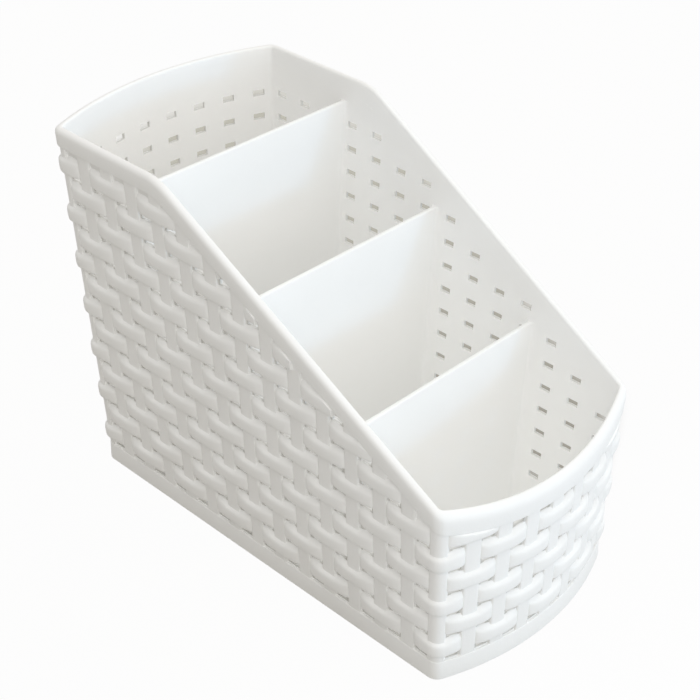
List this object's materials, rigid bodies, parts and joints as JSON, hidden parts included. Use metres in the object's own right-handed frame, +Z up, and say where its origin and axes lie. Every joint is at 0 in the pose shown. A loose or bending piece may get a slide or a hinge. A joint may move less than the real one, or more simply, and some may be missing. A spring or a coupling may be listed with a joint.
{
  "type": "desk organizer basket",
  "caption": "White plastic desk organizer in a woven rattan look: a tapered tub with a sloped mouth, bowed front and back, and upright plates that divide it into compartments.",
  "frame": {"origin": "on the surface that it stands on, under the middle of the tub's overall box", "axes": "+Z up, +Y towards the tall back, +X to the right when looking from the low front towards the back"},
  "size_m": [0.1254, 0.2383, 0.17],
  "materials": {
    "white_plastic": "satin, slightly translucent moulded polypropylene"
  },
  "bodies": {
    "root": {"floor": "white_plastic", "base_band": "white_plastic", "rim": "white_plastic", "left_wall": "white_plastic", "left_stakes": "white_plastic", "left_strands": "white_plastic", "right_wall": "white_plastic", "right_stakes": "white_plastic", "right_strands": "white_plastic", "front_wall": "white_plastic", "front_stakes": "white_plastic", "front_strands": "white_plastic", "back_wall": "white_plastic", "back_stakes": "white_plastic", "back_strands": "white_plastic", "front_left_corner": "white_plastic", "front_right_corner": "white_plastic", "back_left_corner": "white_plastic", "back_right_corner": "white_plastic", "corner_strands": "white_plastic", "rear_divider": "white_plastic", "middle_divider": "white_plastic", "front_divider": "white_plastic"}
  },
  "joints": []
}
